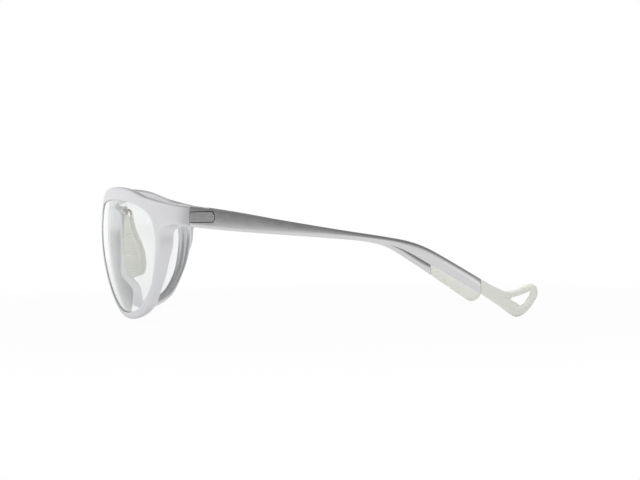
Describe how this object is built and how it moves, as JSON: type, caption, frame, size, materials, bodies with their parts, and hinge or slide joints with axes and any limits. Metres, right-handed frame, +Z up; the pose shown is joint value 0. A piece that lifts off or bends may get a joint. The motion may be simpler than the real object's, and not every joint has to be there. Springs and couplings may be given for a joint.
{
  "type": "sunglasses",
  "caption": "Wrapped sunglasses with clear photochromic lenses, silver front and hinged temples, ribbed silicone nose pads on wire arms, and a cord loop on one tip.",
  "frame": {"origin": "on the mid-plane, halfway along the depth, on the surface that the rims and the temple tips rest on", "axes": "+Z up, -Y the way the wearer looks, +X the wearer's left"},
  "size_m": [0.14, 0.1785, 0.0541],
  "materials": {
    "front_paint": "satin silver paint on moulded nylon",
    "temple_paint": "satin silver paint on moulded nylon",
    "lens": "clear, polished and coated, as photochromic lenses are indoors",
    "pad_silicone": "pale ribbed silicone",
    "tip_silicone": "matte ivory silicone",
    "titanium": "brushed",
    "hinge_steel": "brushed",
    "washer_nylon": "matte"
  },
  "bodies": {
    "front": {"front_frame": "front_paint", "lens_left": "lens", "lens_right": "lens", "front_leaf_left": "hinge_steel", "front_leaf_right": "hinge_steel", "hinge_screw_left": "hinge_steel", "hinge_screw_right": "hinge_steel", "hinge_washers_left": "washer_nylon", "hinge_washers_right": "washer_nylon", "front_leaf_screw_left": "hinge_steel", "front_leaf_screw_right": "hinge_steel"},
    "left_temple": {"temple_left": "temple_paint", "temple_core_left": "titanium", "temple_leaf_left": "hinge_steel", "temple_leaf_screws_left": "hinge_steel", "temple_tip_left": "tip_silicone"},
    "right_temple": {"temple_right": "temple_paint", "temple_core_right": "titanium", "temple_leaf_right": "hinge_steel", "temple_leaf_screws_right": "hinge_steel", "temple_tip_right": "tip_silicone"},
    "left_nose_pad": {"nose_pad_left": "pad_silicone", "nose_arm_left": "titanium"},
    "right_nose_pad": {"nose_pad_right": "pad_silicone", "nose_arm_right": "titanium"}
  },
  "joints": [
    {"name": "left_temple_fold", "type": "hinge", "parent": "front", "child": "left_temple", "pos_m": [0.0652, -0.04775, 0.0416], "axis": [0, 0, 1], "range_deg": [0, 86]},
    {"name": "right_temple_fold", "type": "hinge", "parent": "front", "child": "right_temple", "pos_m": [-0.0652, -0.04775, 0.0416], "axis": [0, 0, -1], "range_deg": [0, 90]},
    {"name": "left_pad_swing", "type": "hinge", "parent": "front", "child": "left_nose_pad", "pos_m": [0.0074, -0.08375, 0.0446], "axis": [0, -1, 0], "range_deg": [-8, 8]},
    {"name": "right_pad_swing", "type": "hinge", "parent": "front", "child": "right_nose_pad", "pos_m": [-0.0074, -0.08375, 0.0446], "axis": [0, 1, 0], "range_deg": [-8, 8]}
  ]
}
